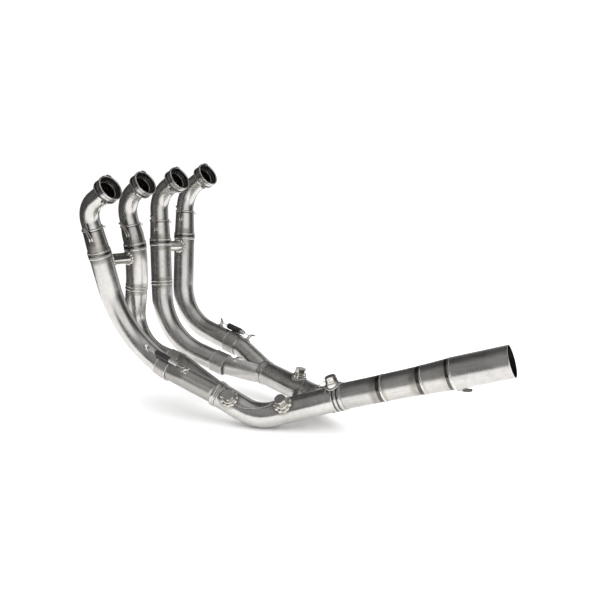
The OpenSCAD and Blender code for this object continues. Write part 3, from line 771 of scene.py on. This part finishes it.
# ---------------------------------------------------------------- lower sleeves: rolled edges
for k in (1, 2, 3, 4):
    f = tube(k)
    e = slip_s[k - 1]
    r = 19.6
    sh = Shape()
    prof = [(e - 1.9, r - 0.4), (e - 1.7, r + 0.15), (e - 1.1, r + 0.42), (e - 0.3, r + 0.35), (e + 0.05, r), (e + 0.05, r - 0.5), (e - 0.6, r - 0.9)]
    lathe(sh, f, prof, n=96, step=1)
    s0 = e - 25
    prof = [(s0 - 0.05, r - 1.0), (s0 - 0.05, r), (s0 + 0.4, r + 0.3), (s0 + 1.1, r + 0.3), (s0 + 1.6, r), (s0 + 1.6, r - 0.5)]
    lathe(sh, f, prof, n=96, step=1)
    sh.piece(f"sleeve_edges_{k}", mat_machined)
    sh = Shape()
    ring_bead(sh, f, s0 - 1.4, RP, 2.6, 0.75, 34, 80 + k)
    sh.piece(f"lower_weld_{k}", mat_weld)

# ---------------------------------------------------------------- collector rings
for name, f in (("a", path_a), ("b", path_b)):
    sh = Shape()
    r = R2 + 1.2
    for s0, s1 in ((-5.2, -0.6), (0.5, 2.9)):
        prof = [(s0, r - 0.8), (s0 + 0.1, r + 0.1), (s0 + 0.6, r + 0.45), (s1 - 0.6, r + 0.45), (s1 - 0.1, r + 0.1), (s1, r - 0.8)]
        lathe(sh, f, prof, n=96, step=1)
    sh.piece(f"collector_ring_{name}", mat_machined)
    sh = Shape()
    ring_bead(sh, f, 4.6, R2, 3.0, 0.8, 38, 90)
    ring_bead(sh, f, -7.4, R2 - 2.0, 3.6, 1.6, 38, 91)
    sh.piece(f"collector_weld_{name}", mat_weld)

# ---------------------------------------------------------------- final collector band and tail joints
sh = Shape()
for s0, s1, r in ((-17.2, -13.6, 22.9), (-7.8, -5.4, 22.7), (-1.2, 1.6, 22.7), (6.6, 10.2, 22.9)):
    prof = [(s0, r - 0.9), (s0 + 0.2, r), (s0 + 0.8, r + 0.45), (s1 - 0.8, r + 0.45), (s1 - 0.2, r), (s1, r - 0.9)]
    lathe(sh, path_t, prof, n=110, step=1)
sh.piece("band_rings", mat_machined)
sh = Shape()
for s0, s1, r in ((-13.6, -11.4, 22.66), (-5.4, -2.6, 22.66), (1.6, 4.4, 22.66)):
    prof = [(s0, r - 0.6), (s0, r + 0.06), (s1, r + 0.06), (s1, r - 0.6)]
    lathe(sh, path_t, prof, n=110, step=1)
sh.piece("band_grooves", mat_dark)

for i, (s, ra, rb) in enumerate(((71, 21.6, 21.7), (137, 22.5, 22.7), (184, 24.7, 24.8))):
    sh = Shape()
    prof = [(s - 1.2, ra - 0.5), (s - 1.2, ra + 0.12), (s + 0.4, rb + 0.16), (s + 4.8, rb + 0.30), (s + 5.2, rb - 0.5)]
    lathe(sh, path_t, prof, n=120, step=1)
    sh.piece(f"tail_oxide_{i + 1}", mat_dark)
    sh = Shape()
    ring_bead(sh, path_t, s + 6.6, rb + 0.15, 3.4, 1.0, 44, 100 + i)
    sh.piece(f"tail_weld_{i + 1}", mat_weld)
# rolled edge of the outlet
sh = Shape()
prof = [(278.4, 25.0), (278.6, 25.45), (279.3, 25.7), (279.8, 25.5), (279.92, 24.9), (279.9, 24.15), (279.2, 24.05), (278.6, 24.3)]
lathe(sh, path_t, prof, n=120, step=1)
sh.piece("outlet_edge", mat_machined)

# ---------------------------------------------------------------- hooks
hook_a = [75, 78, 72, 74]
sh = Shape()
for k in (1, 2, 3, 4):
    f, s, a = tube(k), lip_s[k - 1], hook_a[k - 1]
    for da in (-7, 7):  # two legs that join into one tongue
        bent_rod(sh, [pt(f, s + 13, a + da, RS + 0.9), pt(f, s + 7, a + da * 0.9, RS + 3.2), pt(f, s - 2, a + 2 + da * 0.55, RS + 5.6),
                      pt(f, s - 10, a + 5 + da * 0.45, RS + (10.4 if k == 1 else 12.5))], 1.5, 2.5)
sh.piece("upper_hook_rods", mat_hook, ["upper_hooks"])
sh = Shape()
for k in (1, 2, 3, 4):
    f, s, a = tube(k), lip_s[k - 1], hook_a[k - 1]
    for da in (-7, 7):
        p0, p1 = pt(f, s + 15, a + da, RS + 1.6), pt(f, s + 9, a + da, RS + 1.9)
        wire(sh, smooth_line([p0, (p0 + p1) / 2, p1], 0.8), 1.5, 10, radii=None)
sh.piece("upper_hook_welds", mat_weld)

posts = [[1, 326, 24, -5], [1, 404, 152, 5], [4, 358, 343, -5], [4, 419, 190, 5]]
lift = [6.9, 8.8, 8.8, 11.5]
skin = [RP, RI, RP, RI]
sh = Shape()
weld = Shape()
for (k, s, a, ds), up, r in zip(posts, lift, skin):
    f = tube(k)
    sign = 1 if ds > 0 else -1
    for da in (-9, 9):  # a staple with two feet and a bent tongue
        bent_rod(sh, [pt(f, s - sign * 0.5, a + da, r - 0.5), pt(f, s, a + da * 0.9, r + up * 0.75), pt(f, s + sign * 1.0, a + da * 0.35, r + up),
                      pt(f, s + sign * 5.2, a + da * 0.2, r + up + 3.2)], 1.5, 2.2)
        c, d = pt(f, s - 3, a + da, r + 0.3), pt(f, s + 3, a + da, r + 0.3)
        wire(weld, smooth_line([c, (c + d) / 2, d], 0.7), 1.5, 10)
f = tube(3)
for da in (-8, 8):
    bent_rod(sh, [pt(f, 436, 99 + da, RI - 0.4), pt(f, 438, 99 + da * 0.9, RI + 4.6), pt(f, 440, 99 + da * 0.4, RI + 6), pt(f, 446, 99 + da * 0.2, RI + 6.6)], 1.5, 2)
    c, d = pt(f, 434, 99 + da, RI + 0.3), pt(f, 440, 99 + da, RI + 0.3)
    wire(weld, smooth_line([c, (c + d) / 2, d], 0.7), 1.5, 10)
sh.piece("lower_hook_rods", mat_loop, ["lower_hooks"])
weld.piece("lower_hook_welds", mat_weld)

sh = Shape()
ro = 25.4
corners = [pt(path_t, 193, -9, ro + 0.3), pt(path_t, 198, -8.6, ro + 3.2), pt(path_t, 205, -8, ro + 5.4), pt(path_t, 209.5, -6, ro + 6), pt(path_t, 209.5, 6, ro + 6),
           pt(path_t, 205, 8, ro + 5.4), pt(path_t, 198, 8.6, ro + 3.2), pt(path_t, 193, 9, ro + 0.3)]
bent_rod(sh, corners, 1.5, 3)
sh.piece("tail_hook_rod", mat_hook, ["tail_hook"])
sh = Shape()
for a in (-9, 9):
    wire(sh, smooth_line([pt(path_t, 190, a, ro + 0.6), pt(path_t, 193, a, ro + 1.0), pt(path_t, 196.5, a, ro + 1.0)], 0.7), 1.8, 10)
sh.piece("tail_hook_welds", mat_weld)


# ---------------------------------------------------------------- springs
def eye_at(i):
    k, s, a, _ = posts[i]
    return pt(tube(k), s, a, skin[i] + lift[i] - 2.6)


def spring(name, i, j, f0, f1, damper):
    p, q = eye_at(i), eye_at(j)
    k, s, a, _ = posts[i]
    out = unit(pt(tube(k), s, a, 40) - pt(tube(k), s, a, 0))
    v = q - p
    n = np.linalg.norm(v)
    z = v / n
    x = unit(np.cross(v, out))
    y = np.cross(z, x)
    r, w = 3.65, 0.75
    c0, c1 = n * 0.2, n * 0.8
    turns = int((c1 - c0) / 1.62)
    e = 3.3

    def world(l):
        return p + x * l[0] + y * l[1] + z * l[2]

    # open hook round the first post, straight shank, coil, and the same again
    pts = [world([e * math.sin(math.radians(t)), 0, e * math.cos(math.radians(t))]) for t in np.linspace(250, 20, 30)]
    pts.append(world([0.5, 0, e + 1.6]))
    pts.append(world([0.1, 0, c0 - 2.6]))
    for t in np.linspace(0, 1, 6):
        ang = t * math.pi * 0.5
        pts.append(world([r * t * math.cos(ang), r * t * math.sin(ang), c0 - 1.6 + 1.6 * t]))
    for t in np.linspace(0.25, turns, int(turns * 18)):
        ang = 2 * math.pi * t
        pts.append(world([r * math.cos(ang), r * math.sin(ang), c0 + (c1 - c0) * (t - 0.25) / (turns - 0.25)]))
    last = 2 * math.pi * turns
    for t in np.linspace(0.15, 1, 6):
        ang = last + t * math.pi * 0.5
        pts.append(world([r * (1 - t) * math.cos(ang), r * (1 - t) * math.sin(ang), c1 + 1.6 * t]))
    pts.append(world([0.1, 0, n - e - 2.4]))
    pts += [world([-e * math.sin(math.radians(t)), 0, n - e * math.cos(math.radians(t))]) for t in np.linspace(12, 245, 30)]
    sh = Shape()
    wire(sh, np.array(pts), w, 10)
    sh.piece(f"coil_{name}", mat_steel, [f"spring_{name}"])
    # rubber sleeve: barrelled, with soft rounded ends
    a0, a1 = n * f0, n * f1
    m0 = np.eye(4)
    m0[:3, 0], m0[:3, 1], m0[:3, 2], m0[:3, 3] = x, y, z, p

    def path(s):
        m = m0.copy()
        m[:3, 3] = p + z * s
        return m

    sh = Shape()
    ro, ri = 5.35, 4.42
    prof = [(a0 + 0.25, ri), (a0, ri + 0.35), (a0 + 0.05, ro - 0.45), (a0 + 0.5, ro - 0.05), (a0 + 1.2, ro + 0.03)]
    mid = np.linspace(a0 + 2, a1 - 2, 12)
    prof += [(s_, ro + 0.05 + 0.04 * math.sin(s_ * 1.9)) for s_ in mid]
    prof += [(a1 - 1.2, ro + 0.03), (a1 - 0.5, ro - 0.05), (a1 - 0.05, ro - 0.45), (a1, ri + 0.35), (a1 - 0.25, ri)]
    lathe(sh, path, prof, n=48, step=1.5)
    sh.piece(f"damper_{name}", mat_rubber, [f"damper_sleeve_{name}"])


spring("1", 0, 1, 0.23, 0.60, True)
spring("4", 2, 3, 0.23, 0.68, True)

# ---------------------------------------------------------------- boss welds: thick dabs round each boss
sh = Shape()
boss_axis = [axis_points(path_a, -10, 80), axis_points(path_a, 70, 200), axis_points(path_b, 20, 140), axis_points(path_t, -60, 60)]
for b in range(4):
    m = boss_path[b](boss_s[b]) @ mrz(boss_a[b])
    d = m[:3, 0]
    c = m[:3, 3]
    line = saddle(c, d, 12.6, boss_axis[b], boss_r[b] + 0.4, 8, 40, 110)
    big = b < 2
    rad = ripple(110, 11 if big else 16, 1.2, 3.1 if big else 2.0, 0.15, 31 + b)
    wire(sh, line, 2.0, 12, closed=True, radii=rad)
sh.piece("boss_welds", mat_weld)


# ---------------------------------------------------------------- lockwires: two twisted strands
def twisted(name, points, node_name, tail_end=5.0):
    base = smooth_line(points, 0.35)
    tan, xs, ys = carried_frames(base)
    d = np.concatenate([[0], np.cumsum(np.linalg.norm(np.diff(base, axis=0), axis=1))])
    sh = Shape()
    for ph in (0, math.pi):
        a = d / 3.4 * 2 * math.pi + ph
        # the strands open out at both ends, where they pass through the plug's hole
        open_ = 0.33 + 0.9 * np.exp(-d / 2.5) + 0.9 * np.exp(-(d[-1] - d) / 2.5)
        pts = base + (np.cos(a)[:, None] * xs + np.sin(a)[:, None] * ys) * open_[:, None]
        wire(sh, pts, 0.33, 8)
    sh.piece(name, mat_wire, [node_name])


def pa(s, a, r):
    return pt(path_a, s, a, r)


def pb(s, a, r):
    return pt(path_b, s, a, r)


def ptl(s, a, r):
    return pt(path_t, s, a, r)


twisted("twisted_wire_a", [pa(34, 236, 31), pa(44, 238, 28), pa(61, 74, 25.5), pa(96, 60, 27), pa(112, 56, 30)], "lockwire_a")
twisted("twisted_wire_b", [pb(90, 172, 31), pb(97, 186, 28), pb(106, 20, 27), pb(116, 30, 27), ptl(-18, 190, 31), ptl(-16, 188, 32)], "lockwire_b")

# ---------------------------------------------------------------- floor, light, camera
low = cad_box[0][2]


def floor_disc():
    n, rad = 96, 0.85
    verts, faces = [(0, 0, 0)], []
    for ring, rr in enumerate((0.3, 0.7, rad)):
        for j in range(n):
            a = 2 * math.pi * j / n
            verts.append((rr * math.cos(a), rr * math.sin(a), 0))
    for j in range(n):
        faces.append((0, 1 + j, 1 + (j + 1) % n))
        for q in (0, 1):
            b0, b1 = 1 + q * n, 1 + (q + 1) * n
            faces.append((b0 + j, b1 + j, b1 + (j + 1) % n, b0 + (j + 1) % n))
    me = bpy.data.meshes.new("floor")
    me.from_pydata(verts, [], faces)
    me.update()
    ob = bpy.data.objects.new("floor", me)
    ob.location = (0.25, 0.15, low - 0.0004)
    scene.collection.objects.link(ob)
    m, nt, bsdf = clear("floor_white")
    tc = node(nt, "ShaderNodeTexCoord")
    f1 = noise(nt, tc.outputs["Object"], 3, 2, 0.5)
    nt.links.new(ramp(nt, f1, [(0.3, (0.90, 0.90, 0.90)), (0.7, (0.92, 0.92, 0.92))]), bsdf.inputs["Base Color"])
    bsdf.inputs["Roughness"].default_value = 0.85
    bsdf.inputs["Specular IOR Level"].default_value = 0.15
    me.materials.append(m)
    return ob


floor_disc()

cam_data = bpy.data.cameras.new("camera")
cam_data.lens = 48.39
cam_data.sensor_width = 36
cam_data.clip_start = 0.01
cam_data.clip_end = 30
cam = bpy.data.objects.new("camera", cam_data)
cam.location = (0.8943, -0.9585, 0.1428)
cam.rotation_euler = (math.radians(75.8), 0, math.radians(29.7))
scene.collection.objects.link(cam)
scene.camera = cam

world = bpy.data.worlds.new("studio")
scene.world = world
world.use_nodes = True
wt = world.node_tree
wt.nodes.clear()
wout = wt.nodes.new("ShaderNodeOutputWorld")


def background(colour_or_link, strength):
    b = wt.nodes.new("ShaderNodeBackground")
    if hasattr(colour_or_link, "links"):
        wt.links.new(colour_or_link, b.inputs["Color"])
    else:
        b.inputs["Color"].default_value = (*colour_or_link, 1)
    b.inputs["Strength"].default_value = strength
    return b.outputs[0]


wtc = wt.nodes.new("ShaderNodeTexCoord")
wdir = wtc.outputs["Generated"]


def wdot(v, lo, hi, a, b):
    d = wt.nodes.new("ShaderNodeVectorMath")
    d.operation = "DOT_PRODUCT"
    wt.links.new(wdir, d.inputs[0])
    v = unit(np.array(v, float))
    d.inputs[1].default_value = tuple(v)
    return map_range(wt, d.outputs["Value"], lo, hi, a, b, True)


def studio_dir(psi, el):
    """A direction by its angle to the right of the photograph's camera, and its height, in degrees."""
    base = math.radians(-60.3 + psi)
    e = math.radians(el)
    return (math.cos(base) * math.cos(e), math.sin(base) * math.cos(e), math.sin(e))


level = 0.085
soft = wdot(studio_dir(28, 8), math.cos(math.radians(46)), math.cos(math.radians(22)), 0.0, 1.10)
strip = wdot(studio_dir(150, 10), math.cos(math.radians(40)), math.cos(math.radians(15)), 0.0, 0.55)
top = wdot(studio_dir(60, 75), math.cos(math.radians(38)), math.cos(math.radians(10)), 0.0, 0.55)
left = wdot(studio_dir(-52, 38), math.cos(math.radians(50)), math.cos(math.radians(12)), 0.0, 0.26)
env = math_node(wt, "ADD", math_node(wt, "ADD", soft, strip), math_node(wt, "ADD", top, left))
env = math_node(wt, "ADD", env, level)
gap_dark = wdot(studio_dir(52, 0), math.cos(math.radians(11)), math.cos(math.radians(4)), 1.0, 0.45)
env = math_node(wt, "MULTIPLY", env, gap_dark)
comb = wt.nodes.new("ShaderNodeCombineColor")
for i in range(3):
    wt.links.new(env, comb.inputs[i])
glossy_bg = background(comb.outputs[0], 1.0)
diffuse_bg = background((1.0, 1.0, 1.0), 1.32)
camera_bg = background((1.0, 1.0, 1.0), 1.05)
lp = wt.nodes.new("ShaderNodeLightPath")
m1 = wt.nodes.new("ShaderNodeMixShader")
wt.links.new(lp.outputs["Is Glossy Ray"], m1.inputs[0])
wt.links.new(diffuse_bg, m1.inputs[1])
wt.links.new(glossy_bg, m1.inputs[2])
m2 = wt.nodes.new("ShaderNodeMixShader")
wt.links.new(lp.outputs["Is Camera Ray"], m2.inputs[0])
wt.links.new(m1.outputs[0], m2.inputs[1])
wt.links.new(camera_bg, m2.inputs[2])
wt.links.new(m2.outputs[0], wout.inputs["Surface"])
world.cycles.sampling_method = "NONE"


def area(name, where, aim, size, power, glossy):
    li = bpy.data.lights.new(name, "AREA")
    li.shape = "RECTANGLE"
    li.size, li.size_y = size
    li.energy = power
    ob = bpy.data.objects.new(name, li)
    ob.location = where
    ob.rotation_euler = (Vector(aim) - Vector(where)).to_track_quat("-Z", "Y").to_euler()
    ob.visible_glossy = glossy
    ob.visible_camera = False
    scene.collection.objects.link(ob)
    return ob


area("key", (1.3, -0.4, 1.2), (0.2, 0.15, -0.3), (0.9, 0.9), 10, False)
area("over", (0.2, 0.5, 1.6), (0.2, 0.15, -0.3), (1.6, 1.6), 14, False)
scene.view_settings.view_transform = "Standard"
scene.view_settings.look = "None"
